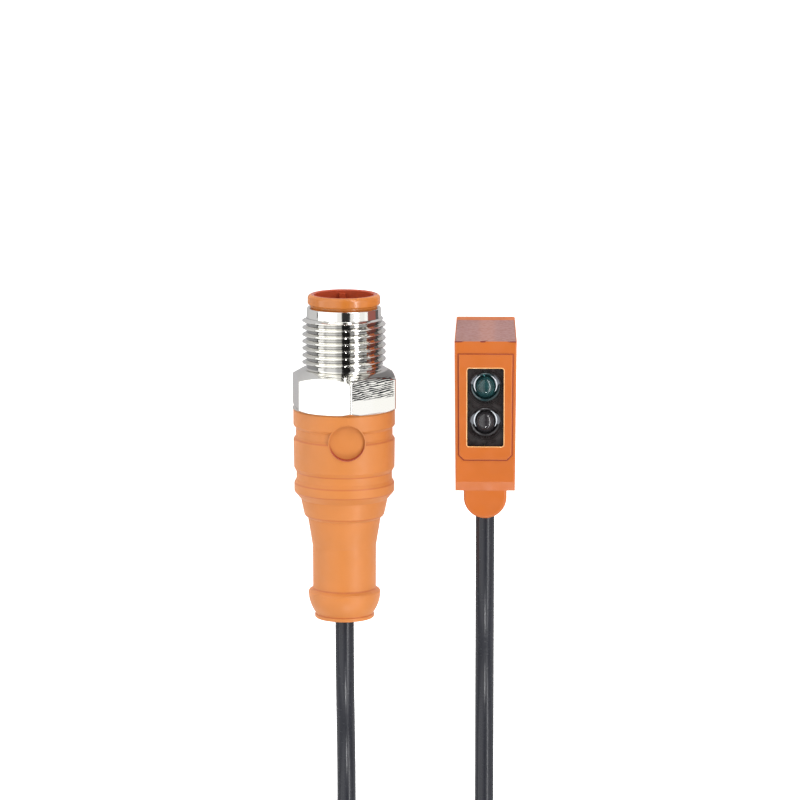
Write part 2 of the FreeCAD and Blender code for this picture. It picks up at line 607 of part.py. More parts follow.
def build():
    parts["housing_shell"] = housing_shell()
    parts["rear_cover"] = rear_cover()
    parts["front_frame"] = front_frame()
    parts["optics_carrier"] = optics_carrier()
    parts["receiver_lens"] = lens(RECEIVER_Y)
    parts["emitter_lens"] = lens(EMITTER_Y)
    parts["light_window"] = light_window()
    parts["main_board"] = main_board()
    parts["receiver_chip"] = chip(0.0, RECEIVER_Y, 1.15, 1.15, 0.9)
    parts["emitter_led"] = chip(0.0, EMITTER_Y, 0.8, 0.8, 0.9)
    parts["control_chip"] = chip(0.0, 2.5, 1.5, 1.5, 0.8, side=-1)
    parts["power_led"] = chip(-1.7, BOARD_TOP_Y - 0.6, 0.5, 0.4, 0.6)
    parts["output_led"] = chip(1.7, BOARD_TOP_Y - 0.6, 0.5, 0.4, 0.6)
    parts["capacitors"] = capacitors()
    parts["mounting_bush_upper"] = mounting_bush(BUSH_Y[0])
    parts["mounting_bush_lower"] = mounting_bush(BUSH_Y[1])
    parts["cable_grommet"] = cable_grommet()
    parts["head_ferrule"] = head_ferrule()

    parts["contact_carrier"] = contact_carrier()
    parts["sealing_ring"] = sealing_ring()
    parts["coupling_sleeve"] = coupling_sleeve()
    parts["plug_overmould"] = plug_overmould()
    parts["inner_mould"] = inner_mould()
    parts["plug_ferrule"] = plug_ferrule()
    for index, colour in enumerate(CORE_NAMES):
        parts[f"head_core_{colour}"] = head_core(index)
        parts[f"plug_core_{colour}"] = plug_core(index)
        parts[f"contact_pin_{index + 1}"] = contact_pin(PIN_ANGLES[index])

    coil = cable_coil()
    parts["cable_coil"] = coil
    parts["cable_head_lead"] = tube(HEAD_ROUTE, CABLE_R, "head lead").cut(coil)
    parts["cable_plug_lead"] = tube(PLUG_ROUTE, CABLE_R, "plug lead").cut(coil)


build()
os.makedirs("parts", exist_ok=True)
for name, shape in parts.items():
    shape.exportStep(f"parts/{name}.step")
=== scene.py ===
import json
import math

import bmesh
import bpy
from mathutils import Matrix, Vector


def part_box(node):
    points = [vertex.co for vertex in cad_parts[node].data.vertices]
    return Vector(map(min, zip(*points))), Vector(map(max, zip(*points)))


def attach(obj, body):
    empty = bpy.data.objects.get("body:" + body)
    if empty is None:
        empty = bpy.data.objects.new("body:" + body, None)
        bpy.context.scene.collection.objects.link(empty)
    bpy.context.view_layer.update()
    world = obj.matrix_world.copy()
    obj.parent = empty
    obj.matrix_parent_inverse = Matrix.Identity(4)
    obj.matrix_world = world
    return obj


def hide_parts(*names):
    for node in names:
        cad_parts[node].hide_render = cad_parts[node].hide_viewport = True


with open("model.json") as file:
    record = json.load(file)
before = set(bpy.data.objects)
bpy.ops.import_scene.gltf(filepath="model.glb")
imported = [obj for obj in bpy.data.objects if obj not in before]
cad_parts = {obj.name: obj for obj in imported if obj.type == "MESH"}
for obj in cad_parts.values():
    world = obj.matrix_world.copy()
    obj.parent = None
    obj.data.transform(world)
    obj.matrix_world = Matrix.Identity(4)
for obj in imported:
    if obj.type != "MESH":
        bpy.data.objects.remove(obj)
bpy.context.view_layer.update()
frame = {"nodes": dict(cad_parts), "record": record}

# A small photoelectric sensor with a short cable and an M12 plug. The CAD nodes keep their shapes and get
# their finishes here. The cable, the lenses and the coupling sleeve are finer pieces in the same places.
# Lengths in this script are in millimetres unless a name says otherwise, and MM turns them into metres.

MM = 0.001
nodes = frame["nodes"]
scene = bpy.context.scene


def place_of(node):
    """A node's lowest and highest corners in millimetres."""
    low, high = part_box(node)
    return Vector(low) / MM, Vector(high) / MM


# ---------------------------------------------------------------- camera
TARGET = Vector((-12.21, 2.51, 8.2))
CAMERA_DISTANCE = 600.0
CAMERA_TILT = math.radians(9.8)      # from straight above, towards the head's top end
CAMERA_LENS = 189.0
SENSOR_WIDTH = 36.0


def make_camera():
    """The camera stands over the head, and the target is between the head and the plug."""
    data = bpy.data.cameras.new("camera")
    data.lens = CAMERA_LENS
    data.sensor_width = SENSOR_WIDTH
    data.clip_start = 0.01
    data.clip_end = 20.0
    camera = bpy.data.objects.new("camera", data)
    scene.collection.objects.link(camera)
    place = Vector((0.0, TARGET.y + CAMERA_DISTANCE * math.sin(CAMERA_TILT),
                    TARGET.z + CAMERA_DISTANCE * math.cos(CAMERA_TILT)))
    away = (place - TARGET).normalized()
    right = Vector((0.0, 1.0, 0.0)).cross(away).normalized()
    up = away.cross(right)
    turn = Matrix((right, up, away)).transposed().to_4x4()
    camera.matrix_world = Matrix.Translation(place * MM) @ turn
    scene.camera = camera


make_camera()


# ---------------------------------------------------------------- cable
CABLE_D = 2.7
COIL_CENTRE = (-10.0, -78.2)
COIL_STEP = 15
COIL_START_R = 15.2
COIL_FIRST = -15                     # degrees that the coil's points run through
COIL_LAST = 915
STRAND_LEAN = 120                    # degrees round the first strand that the others climb in one turn
HEAD_ROUTE = [
    (0.0, -7.6, 9.2), (0.0, -24.2, 9.2), (0.0, -41.2, 1.35), (0.0, -55.2, 1.35), (0.0, -66.3, 3.6),
]
PLUG_ROUTE = [
    (-20.2, -23.2, 8.15), (-20.2, -37.3, 8.15), (-20.2, -51.9, 1.35), (-20.2, -66.5, 1.35),
]


def coil_points():
    """Two and a half turns packed three strands to a section, from the plug's lead to the head's."""
    points = []
    for turned in range(COIL_FIRST, COIL_LAST + 1, COIL_STEP):
        lap, part = divmod(max(turned, 0), 360)
        if turned < 0:
            part = turned
        base = COIL_START_R - CABLE_D * part / 360
        lean = math.radians(STRAND_LEAN * part / 360)
        if lap == 0:
            across, up = base, 0.0
        elif lap == 1:
            across, up = base - CABLE_D * math.cos(lean), CABLE_D * math.sin(lean)
        else:
            across = base + CABLE_D * math.cos(math.radians(STRAND_LEAN) - lean)
            up = CABLE_D * math.sin(math.radians(STRAND_LEAN) - lean)
        angle = math.radians(180 + turned)
        points.append((COIL_CENTRE[0] + across * math.cos(angle),
                       COIL_CENTRE[1] + across * math.sin(angle), CABLE_D / 2 + up))
    return points


def make_cable():
    """One curve from inside the head, round the coil and into the plug."""
    data = bpy.data.curves.new("cable", "CURVE")
    data.dimensions = "3D"
    data.bevel_depth = 1.0           # times each point's radius, which the curve's own box counts
    data.bevel_resolution = 8
    data.resolution_u = 10
    data.use_fill_caps = True
    route = HEAD_ROUTE + coil_points()[::-1] + PLUG_ROUTE[::-1]
    spline = data.splines.new("NURBS")
    spline.points.add(len(route) - 1)
    for point, place in zip(spline.points, route):
        point.co = (place[0] * MM, place[1] * MM, place[2] * MM, 1.0)
        point.radius = CABLE_D / 2 * MM
    spline.order_u = 3
    spline.use_endpoint_u = True
    cable = bpy.data.objects.new("cable", data)
    scene.collection.objects.link(cable)
    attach(cable, "sensor")
    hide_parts("cable_head_lead", "cable_coil", "cable_plug_lead")
    return cable


cable = make_cable()


# ---------------------------------------------------------------- finishes
JOINT = frame["record"]["behaviour"]["joints"][0]
AXIS_X = JOINT["pos_m"][0] / MM
AXIS_Z = JOINT["pos_m"][2] / MM
TIP_Y = place_of("contact_carrier")[1].y
DIMPLE_X = AXIS_X + 0.62             # middle of the dimple on the grip
DIMPLE_Y = TIP_Y - 20.4
STEP_SHADE_LINES = (20.72, 25.5, 27.15, 28.5, 31.9, 42.6, 46.4)      # distances from the plug's tip of the painted shade lines along the grip's steps
STEP_SHADE_CORE = 0.04                # each line is full to this distance from its middle
STEP_SHADE_EDGE = 0.16                # and gone at this one
RIPPLE_RATE = 21.0                   # radians of the painted reflection lines on the hexagon for each millimetre along it
RIPPLE_SLOPE = 2.1                   # and for each millimetre across it
SHROUD_WALL_R = 4.72                 # between the inside of the plug's ring and its outside, where the painted shade inside the shroud ends


class Finish:
    """A Principled material, with short calls that add procedural detail to it."""

    def __init__(self, name, color, roughness, **sockets):
        self.material = bpy.data.materials.new(name)
        self.material.use_nodes = True
        self.tree = self.material.node_tree
        self.shader = self.tree.nodes["Principled BSDF"]
        self.color = color
        self.shader.inputs["Base Color"].default_value = (*color, 1.0)
        self.shader.inputs["Roughness"].default_value = roughness
        for key, value in sockets.items():
            self.shader.inputs[key.replace("_", " ")].default_value = value
        self.place = self.add("ShaderNodeTexCoord").outputs["Object"]
        self.normal = None

    def add(self, kind, **settings):
        node = self.tree.nodes.new(kind)
        for key, value in settings.items():
            setattr(node, key, value)
        return node

    def join(self, source, target):
        self.tree.links.new(source, target)

    def math(self, operation, first, second=0.0):
        """One Math node. Each operand is a socket or a number."""
        node = self.add("ShaderNodeMath", operation=operation)
        for slot, value in zip(node.inputs, (first, second)):
            if isinstance(value, (int, float)):
                slot.default_value = value
            else:
                self.join(value, slot)
        return node.outputs[0]

    def noise(self, size, detail=2.0, stretch=(1.0, 1.0, 1.0), distortion=0.0):
        """Noise whose features are about this many millimetres across."""
        scale = self.add("ShaderNodeMapping")
        scale.inputs["Scale"].default_value = [1 / (size * MM * s) for s in stretch]
        self.join(self.place, scale.inputs["Vector"])
        node = self.add("ShaderNodeTexNoise")
        node.inputs["Scale"].default_value = 1.0
        node.inputs["Detail"].default_value = detail
        node.inputs["Distortion"].default_value = distortion
        self.join(scale.outputs[0], node.inputs["Vector"])
        return node.outputs["Fac"]

    def between(self, value, low, high, to_low=0.0, to_high=1.0):
        """A smooth step of a value, from one number at low to another at high."""
        node = self.add("ShaderNodeMapRange", interpolation_type="SMOOTHSTEP")
        node.inputs["From Min"].default_value = low
        node.inputs["From Max"].default_value = high
        node.inputs["To Min"].default_value = to_low
        node.inputs["To Max"].default_value = to_high
        self.join(value, node.inputs["Value"])
        return node.outputs["Result"]

    def tint(self, value, other):
        """Mixes the colour so far with another one by a value from 0 to 1."""
        node = self.add("ShaderNodeMix", data_type="RGBA")
        socket = self.shader.inputs["Base Color"]
        if socket.is_linked:
            self.join(socket.links[0].from_socket, node.inputs["A"])
        else:
            node.inputs["A"].default_value = (*self.color, 1.0)
        node.inputs["B"].default_value = (*other, 1.0)
        self.join(value, node.inputs["Factor"])
        self.join(node.outputs["Result"], socket)

    def shade(self, size, amount, stretch=(1.0, 1.0, 1.0)):
        """Patches of the colour that are darker by this share."""
        value = self.between(self.noise(size, stretch=stretch), 0.3, 0.7)
        self.tint(value, [c * (1 - amount) for c in self.color])

    def rough(self, size, low, high):
        """Roughness that wanders between two values."""
        value = self.between(self.noise(size), 0.3, 0.7, low, high)
        self.join(value, self.shader.inputs["Roughness"])

    def grain(self, size, depth, stretch=(1.0, 1.0, 1.0)):
        """Random relief with features of this size."""
        self.relief(self.noise(size, stretch=stretch), depth)

    def length(self, first, second):
        """The length of a flat vector with these two parts, in millimetres."""
        squares = [self.math("MULTIPLY", part, part) for part in (first, second)]
        total = self.math("ADD", *squares)
        return self.math("DIVIDE", self.math("SQRT", total), MM)

    def from_axis(self, x, z):
        """Distance from the plug's axis in millimetres."""
        across = self.math("SUBTRACT", x, AXIS_X * MM)
        above = self.math("SUBTRACT", z, AXIS_Z * MM)
        return self.length(across, above)

    def all_of(self, first, *others):
        """The product of several values."""
        total = first
        for value in others:
            total = self.math("MULTIPLY", total, value)
        return total

    def relief(self, height, depth):
        """Adds surface relief this many millimetres deep to the relief so far."""
        node = self.add("ShaderNodeBump")
        node.inputs["Strength"].default_value = 1.0
        node.inputs["Distance"].default_value = depth * MM
        self.join(height, node.inputs["Height"])
        if self.normal:
            self.join(self.normal, node.inputs["Normal"])
        self.normal = node.outputs["Normal"]
        self.join(self.normal, self.shader.inputs["Normal"])

    def axes(self):
        """The place on the object as three sockets, in metres."""
        node = self.add("ShaderNodeSeparateXYZ")
        self.join(self.place, node.inputs[0])
        return node.outputs


def head_plastic():
    f = Finish("head_plastic", (0.462, 0.108, 0.0085), 0.42)
    f.shade(5.0, 0.06)
    f.rough(1.5, 0.38, 0.48)
    f.grain(0.16, 0.0022)
    f.grain(2.5, 0.006)
    return f


def overmould_plastic():
    """Soft moulding, with painted shade on the lower wall of the dimple and along the steps of the grip."""
    f = Finish("overmould_plastic", (0.508, 0.165, 0.026), 0.5, Sheen_Weight=0.12)
    f.shade(4.0, 0.05)
    x, y, z = f.axes()
    far = f.length(f.math("SUBTRACT", x, DIMPLE_X * MM), f.math("SUBTRACT", y, DIMPLE_Y * MM))
    below = f.between(y, DIMPLE_Y * MM, (DIMPLE_Y - 1.6) * MM)
    on_top = f.between(z, AXIS_Z * MM, (AXIS_Z + 2) * MM)
    # Painted shade: dark red on the dimple's lower wall, on the upper side of the grip.
    dimple_wall_shade = f.all_of(f.between(far, 2.3, 2.42), f.between(far, 2.56, 2.6, 1.0, 0.0), on_top, below)
    f.tint(dimple_wall_shade, (0.40, 0.06, 0.012))
    clear = f.between(far, 2.62, 2.7)
    # Painted shade: a darker line along each step of the grip, clear of the dimple.
    for along in STEP_SHADE_LINES:
        off = f.math("ABSOLUTE", f.math("SUBTRACT", y, (TIP_Y - along) * MM))
        step_shade = f.between(off, STEP_SHADE_CORE * MM, STEP_SHADE_EDGE * MM, 1.0, 0.0)
        f.tint(f.all_of(step_shade, clear, 0.5), (0.38, 0.075, 0.012))
    f.rough(1.2, 0.44, 0.56)
    f.grain(0.2, 0.003)
    f.grain(3.0, 0.008)
    return f


def carrier_plastic():
    """Smooth moulding, with painted shade: a deeper red inside the shroud."""
    f = Finish("carrier_plastic", (0.458, 0.146, 0.026), 0.2)
    f.shade(3.0, 0.06)
    x, _, z = f.axes()
    # Painted shade: deeper red inside the shroud.
    shroud_shade = f.between(f.from_axis(x, z), SHROUD_WALL_R - 0.06, SHROUD_WALL_R + 0.06, 1.0, 0.0)
    f.tint(f.all_of(shroud_shade, 0.8), (0.36, 0.035, 0.02))
    f.rough(1.0, 0.14, 0.26)
    f.grain(0.5, 0.012)
    return f


def optics_black():
    f = Finish("optics_black", (0.017, 0.012, 0.012), 0.3)
    f.shade(0.7, 0.6)
    f.rough(0.8, 0.24, 0.42)
    f.grain(0.2, 0.004)
    return f


def lens_tinted():
    f = Finish("lens_tinted", (0.055, 0.19, 0.20), 0.06, Transmission_Weight=0.72, IOR=1.49)
    f.shade(0.8, 0.35)
    f.grain(0.7, 0.004)
    return f


def lens_clear():
    f = Finish("lens_clear", (0.10, 0.092, 0.102), 0.07, Transmission_Weight=0.72, IOR=1.49)
    f.shade(0.8, 0.3)
    f.grain(0.7, 0.004)
    return f


def window_frosted():
    """A frosted light guide with streaks from front to rear, painted light that makes it warmer in the middle
    and painted shade that makes it greyer to the right.
    """
    f = Finish("window_frosted", (0.29, 0.133, 0.119), 0.38, Transmission_Weight=0.1, IOR=1.5)
    x, _, _ = f.axes()
    streaks = f.between(f.noise(1.0, 2.0, (1.0, 6.0, 6.0)), 0.35, 0.65)
    f.tint(f.all_of(streaks, 0.5), (0.26, 0.104, 0.079))
    # Painted light: warmer in the middle.
    off_middle = f.math("ABSOLUTE", f.math("SUBTRACT", x, 0.2 * MM))
    middle = f.between(off_middle, 0.6 * MM, 1.6 * MM, 1.0, 0.0)
    f.tint(f.all_of(middle, 0.55), (0.386, 0.161, 0.117))
    # Painted shade: greyer to the right.
    right = f.between(x, 1.2 * MM, 2.2 * MM)
    f.tint(f.all_of(right, 0.5), (0.28, 0.123, 0.109))
    f.rough(0.5, 0.32, 0.5)
    f.grain(0.15, 0.004)
    return f


def nickel_plate():
    """Bright plating. Painted reflections: dark wavy lines on one flat and beside it on the thread, and a
    darker
    shoulder. Painted shade: a darker thread root."""
    f = Finish("nickel_plate", (0.87, 0.86, 0.82), 0.06, Metallic=1.0)
    x, y, z = f.axes()
    top = place_of("coupling_sleeve")[1].y
    across = f.math("SUBTRACT", x, AXIS_X * MM)
    above = f.math("SUBTRACT", z, AXIS_Z * MM)
    angle = f.math("DEGREES", f.math("ARCTAN2", across, above))
    along = f.math("DIVIDE", f.math("SUBTRACT", top * MM, y), MM)

    # Painted reflection: dark wavy lines on one flat of the hexagon.
    on_flat = f.all_of(f.between(angle, 9.0, 11.0), f.between(angle, 64.0, 67.0, 1.0, 0.0),
                       f.between(along, 9.3, 9.6), f.between(along, 12.1, 12.5, 1.0, 0.0))
    drift = f.all_of(f.noise(1.8, 3.0, (1.0, 0.4, 1.0)), 0.5)
    slope = f.all_of(across, RIPPLE_SLOPE / MM)
    lines = f.math("SINE", f.math("ADD", f.all_of(f.math("ADD", along, drift), RIPPLE_RATE), slope))
    weight = f.between(f.noise(0.9, 2.0, (1.0, 0.4, 1.0)), 0.36, 0.62, -0.5, 0.75)
    dark_reflection = f.between(f.math("ADD", lines, weight), -0.05, 0.4)
    f.tint(f.all_of(dark_reflection, on_flat), (0.012, 0.013, 0.018))

    # Painted reflection: a darker patch on the shoulder beside that flat.
    shoulder_reflection = f.all_of(f.between(angle, 20.0, 30.0), f.between(along, 8.85, 9.0),
                           f.between(along, 9.6, 9.9, 1.0, 0.0))
    f.tint(f.all_of(shoulder_reflection, 0.75), (0.10, 0.09, 0.085))

    # Painted reflection: dark wisps on the thread beside that flat.
    on_thread = f.all_of(f.between(angle, 6.0, 12.0), f.between(angle, 38.0, 44.0, 1.0, 0.0),
                         f.between(along, 1.2, 1.6), f.between(along, 8.3, 8.6, 1.0, 0.0))
    reflection_wisps = f.between(f.noise(0.4, 2.0, (3.0, 0.6, 3.0), 0.8), 0.52, 0.6)
    f.tint(f.all_of(reflection_wisps, on_thread, 0.75), (0.10, 0.09, 0.09))

    # Painted shade: darker at the thread's root.
    root_shade = f.between(f.from_axis(x, z), THREAD_ROOT_R + 0.01, THREAD_ROOT_R + 0.1, 1.0, 0.0)
    root_shade = f.all_of(root_shade, f.between(along, 1.25, 1.5), f.between(along, 8.5, 8.8, 1.0, 0.0))
    f.tint(f.all_of(root_shade, 0.6), (0.045, 0.045, 0.05))
    f.rough(2.0, 0.04, 0.10)
    f.relief(f.all_of(lines, on_flat), 0.01)
    f.grain(1.6, 0.004, (1.0, 0.6, 1.0))
    return f


def jacket_grey():
    f = Finish("jacket_grey", (0.021, 0.022, 0.028), 0.22, Specular_IOR_Level=0.3)
    f.shade(3.0, 0.15, (1.0, 6.0, 1.0))
    f.rough(0.8, 0.2, 0.28)
    f.grain(0.7, 0.002, (1.0, 3.0, 1.0))
    f.grain(4.0, 0.01)
    return f


def board_green():
    f = Finish("board_green", (0.02, 0.16, 0.07), 0.35)
    tracks = f.between(f.noise(0.9, 0.0, (0.4, 3.0, 1.0)), 0.50, 0.52)
    f.tint(tracks, (0.04, 0.26, 0.12))
    f.relief(tracks, 0.02)
    return f


def bush_steel():
    f = Finish("bush_steel", (0.60, 0.60, 0.60), 0.25, Metallic=1.0)
    f.rough(0.6, 0.2, 0.36)
    f.grain(0.12, 0.004, (4.0, 1.0, 1.0))
    return f


def ferrule_metal():
    f = Finish("ferrule_metal", (0.62, 0.62, 0.63), 0.3, Metallic=1.0)
    f.rough(0.6, 0.25, 0.4)
    f.grain(0.3, 0.006)
    return f


def contact_gold():
    f = Finish("contact_gold", (0.85, 0.62, 0.25), 0.16, Metallic=1.0)
    f.rough(0.6, 0.12, 0.24)
    f.grain(0.4, 0.002, (1.0, 3.0, 1.0))
    return f


def seal_rubber():
    f = Finish("seal_rubber", (0.02, 0.02, 0.02), 0.55)
    f.shade(0.8, 0.3)
    f.grain(0.12, 0.006)
    return f


def small_part(name, color, roughness, size=0.4):
    """A plain moulded part inside the housing or plug."""
    f = Finish(name, color, roughness)
    f.shade(size * 4, 0.12)
    f.rough(size * 2, roughness * 0.85, roughness * 1.15)
    f.grain(size, 0.004)
    return f


# ---------------------------------------------------------------- mesh building
def link_mesh(name, mesh, finish, slot, *replaced):
    """Puts a finished mesh into the scene as a piece."""
    piece = bpy.data.objects.new(name, mesh)
    scene.collection.objects.link(piece)
    mesh.materials.append(finish.material)
    for polygon in mesh.polygons:
        polygon.use_smooth = True
    if replaced:
        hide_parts(*replaced)
    return piece


def grid_mesh(name, rings, closed_rows=True, fans=False):
    """A mesh from closed rings of points. The last ring joins the first, or with fans both ends get a cap."""
    points = [Vector(p) * MM for ring in rings for p in ring]
    count = len(rings[0])
    rows = len(rings)
    faces = []
    for row in range(rows if closed_rows else rows - 1):
        below = (row + 1) % rows
        for column in range(count):
            beside = (column + 1) % count
            faces.append((row * count + column, row * count + beside,
                          below * count + beside, below * count + column))
    if fans:
        faces.append(tuple(reversed(range(count))))
        faces.append(tuple((rows - 1) * count + k for k in range(count)))
    mesh = bpy.data.meshes.new(name)
    mesh.from_pydata(points, [], faces)
    tidy = bmesh.new()
    tidy.from_mesh(mesh)
    bmesh.ops.recalc_face_normals(tidy, faces=tidy.faces)
    tidy.to_mesh(mesh)
    tidy.free()
    return mesh


def soft_min(first, second, blend):
    """The smaller of two lengths, rounded where they cross."""
    near = max(blend - abs(first - second), 0.0) / blend
    return min(first, second) - near * near * blend / 4


# ---------------------------------------------------------------- coupling sleeve
SLEEVE_BORE_R = 4.92
COLLAR_R = 5.3
THREAD_ROOT_R = 5.34
THREAD_CREST_R = 5.97
THREAD_FIRST = 1.16                  # where the thread's cones start, along the sleeve
THREAD_LAST = 8.5
THREAD_PHASE = 0.63                  # turns from straight up
THREAD_STEPS = 96                    # sections in a turn
HEX_START = 8.8
HEX_TURN = 8.5
HEX_FLAT_R = 7.0
HEX_CORNER_R = 8.01
HEX_SHOULDER_R = 6.0
HEX_FOOT_R = 7.5
CHAMFER = math.tan(math.radians(30))
CORNER_ANGLES = (
    0.0, 0.35, 0.7, 1.1, 1.6, 2.4, 3.6, 5.0, 7.0, 9.0, 11.0, 13.5, 16.0, 19.0, 22.0, 25.0, 27.5, 30.0,
)
RIDGE_SUNK = 0.15                    # the ridge starts this far inside the core
RIDGE_FLOOR = 0.2                    # and goes this much deeper where it runs out
RIDGE_LEAD = 0.6                     # the sweep starts and ends this far outside the thread
RIDGE_GROWS = 1.7                    # slopes of the cones that the ridge runs out in
RIDGE_FADES = 2.1


def around(along, radius, angle, top):
    """A point on the plug, from its distance along the sleeve and its angle from straight up."""
    turn = math.radians(angle)
    return (AXIS_X + radius * math.sin(turn), top - along, AXIS_Z + radius * math.cos(turn))


def hex_columns():
    """Angles round the sleeve, closer together at the corners of the hexagon."""
    angles = []
    for corner in range(6):
        middle = HEX_TURN + 60 * corner
        angles += [middle - a for a in reversed(CORNER_ANGLES[1:])]
        angles += [middle + a for a in CORNER_ANGLES[:-1]]
    return angles


def hex_radius(along, angle, length):
    """The hexagon's radius, with rounded corners and a 30 degree chamfer at both ends."""
    off_flat = (angle - HEX_TURN) % 60 - 30
    radius = soft_min(HEX_FLAT_R / math.cos(math.radians(off_flat)), HEX_CORNER_R, 0.08)
    upper = HEX_SHOULDER_R + (along - HEX_START) / CHAMFER
    lower = HEX_FOOT_R + (length - along) / CHAMFER
    return soft_min(soft_min(radius, upper, 0.1), lower, 0.1)


def sleeve_rings(top, length):
    """The sleeve without its ridge: bore, collar, core, hexagon and back to the bore."""
    columns = hex_columns()
    turned = [(0.1, SLEEVE_BORE_R), (0.0, SLEEVE_BORE_R + 0.1), (0.0, COLLAR_R - 0.12),
              (0.035, COLLAR_R - 0.035), (0.12, COLLAR_R), (0.3, COLLAR_R), (1.0, COLLAR_R),
              (1.1, COLLAR_R + 0.01), (1.16, THREAD_ROOT_R), (1.4, THREAD_ROOT_R), (8.45, THREAD_ROOT_R),
              (8.6, THREAD_ROOT_R + 0.02), (8.72, THREAD_ROOT_R + 0.1), (8.79, THREAD_ROOT_R + 0.25),
              (HEX_START, THREAD_ROOT_R + 0.4), (HEX_START, HEX_SHOULDER_R - 0.06)]
    rings = [[around(along, radius, a, top) for a in columns] for along, radius in turned]
    rows = [0.02, 0.06, 0.12] + [0.18 + 0.075 * k for k in range(17)] + [1.6, 2.2, 3.2, 4.2, 4.9]
    rows += [length - HEX_START - 0.42 + 0.06 * k for k in range(7)] + [length - HEX_START - 0.02]
    for row in rows:
        along = HEX_START + row
        rings.append([around(along, hex_radius(along, a, length), a, top) for a in columns])
    for radius in (HEX_FOOT_R - 0.1, HEX_FOOT_R - 0.8, SLEEVE_BORE_R + 0.1):
        rings.append([around(length, radius, a, top) for a in columns])
    rings.append([around(length - 0.1, SLEEVE_BORE_R, a, top) for a in columns])
    return rings


def ridge_rings(top):
    """Sections of the helical ridge, which sinks into the core at each end."""
    inner = THREAD_ROOT_R - RIDGE_SUNK
    half = [(0.465, inner), (0.386, inner + 0.16), (0.27, inner + 0.39), (0.16, inner + 0.60),
            (0.105, THREAD_CREST_R - 0.06), (0.075, THREAD_CREST_R - 0.015), (0.03, THREAD_CREST_R)]
    profile = half + [(-along, radius) for along, radius in reversed(half)]
    deepest = inner - RIDGE_FLOOR
    rings = []
    steps = round((THREAD_LAST - THREAD_FIRST + 2 * RIDGE_LEAD) * THREAD_STEPS)
    for step in range(steps + 1):
        centre = THREAD_FIRST - RIDGE_LEAD + step / THREAD_STEPS
        angle = (THREAD_PHASE - centre) * 360
        ring = []
        for offset, radius in profile:
            along = centre + offset
            growing = deepest + (along - THREAD_FIRST) * RIDGE_GROWS
            fading = deepest + (THREAD_LAST - along) * RIDGE_FADES
            limit = soft_min(growing, fading, 0.1)
            ring.append(around(along, max(soft_min(radius, limit, 0.05), deepest), angle, top))
        rings.append(ring)
    return rings


def make_sleeve(finish):
    low, high = place_of("coupling_sleeve")
    body = grid_mesh("sleeve_body", sleeve_rings(high.y, high.y - low.y))
    ridge = grid_mesh("sleeve_thread", ridge_rings(high.y), closed_rows=False, fans=True)
    piece = link_mesh("threaded_sleeve", body, finish, "nickel_plate", "coupling_sleeve")
    thread = link_mesh("thread_ridge", ridge, finish, "nickel_plate")
    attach(piece, "coupling")
    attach(thread, "coupling")


# ---------------------------------------------------------------- lenses
LENS_FLANGE_R = 1.8
LENS_FLANGE_H = 0.6
LENS_R = 1.56
LENS_COLUMNS = 64


def lens_rings(centre, low_z, high_z):
    """A flange, a step and an almost half-round dome, as rings from the rear to the crown."""
    foot = low_z + LENS_FLANGE_H
    rise = high_z - foot
    profile = [(0.02, low_z), (0.9, low_z + 0.02), (1.3, low_z), (LENS_FLANGE_R - 0.05, low_z),
               (LENS_FLANGE_R, low_z + 0.05), (LENS_FLANGE_R, foot - 0.05), (LENS_FLANGE_R - 0.05, foot),
               (LENS_R + 0.06, foot)]
    for step in range(15):
        lift = math.radians(6 * step)
        profile.append((LENS_R * math.cos(lift), foot + rise * math.sin(lift)))
    profile.append((0.02, high_z))
    turns = [math.tau * k / LENS_COLUMNS for k in range(LENS_COLUMNS)]
    rings = []
    for radius, z in profile:
        rings.append([(centre.x + radius * math.cos(t), centre.y + radius * math.sin(t), z) for t in turns])
    return rings


def make_lens(node, finish, slot):
    low, high = place_of(node)
    centre = (low + high) / 2
    mesh = grid_mesh(node + "_dome", lens_rings(centre, low.z, high.z), closed_rows=False, fans=True)
    piece = link_mesh(node + "_dome", mesh, finish, slot, node)
    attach(piece, "sensor")


# Outlines of the lugs, right-hand side, measured from the middle of the lens.
RECEIVER_LUG = [(1.02, 2.02), (1.30, 1.72), (1.72, 1.30), (2.32, 0.72), (2.26, 0.60), (1.86, 0.46),
                (1.72, 0.32), (1.62, 0.50), (1.48, 1.05), (1.28, 1.50)]
EMITTER_LUG = [(1.00, 1.42), (1.28, 1.36), (1.72, 1.12), (2.08, 0.66), (2.16, 0.24), (2.05, -0.12),
               (1.80, -0.30), (1.66, -0.26), (1.62, 0.10), (1.48, 0.74), (1.26, 1.10)]
LUG_THICK = 0.16
LUG_SUNK = 0.42                      # below the carrier's front
# The pale slivers beside each dome are painted reflections.
SLIVER_R = 1.58
SLIVER_UP = 0.28                     # its middle stands this far above the lens's middle
SLIVER_SPAN = (-34, 62)              # degrees from straight across
SLIVER_WIDTH = 0.17
SLIVER_STEPS = 14


def sliver_outline():
    """A thin curved sliver along the side of a lens, widest in its middle."""
    outer = []
    inner = []
    first, last = SLIVER_SPAN
    for step in range(SLIVER_STEPS + 1):
        turn = math.radians(first + (last - first) * step / SLIVER_STEPS)
        half = (SLIVER_WIDTH * math.sin(math.pi * step / SLIVER_STEPS) ** 0.7 + 0.02) / 2
        for side, radius in ((outer, SLIVER_R + half), (inner, SLIVER_R - half)):
            side.append((radius * math.cos(turn), SLIVER_UP + radius * math.sin(turn)))
    return outer + inner[::-1]


def slab(bm, outline, side, centre, z, thickness):
    """Adds a flat plate with this outline round a centre, mirrored when side is -1."""
    places = [(centre.x + side * x, centre.y + y) for x, y in outline]
    bottom = [bm.verts.new(Vector((x, y, z)) * MM) for x, y in places]
    top = [bm.verts.new(Vector((x, y, z + thickness)) * MM) for x, y in places]
    bm.faces.new(bottom)
    bm.faces.new(top[::-1])
    for k in range(len(outline)):
        beside = (k + 1) % len(outline)
        bm.faces.new((bottom[k], top[k], top[beside], bottom[beside]))


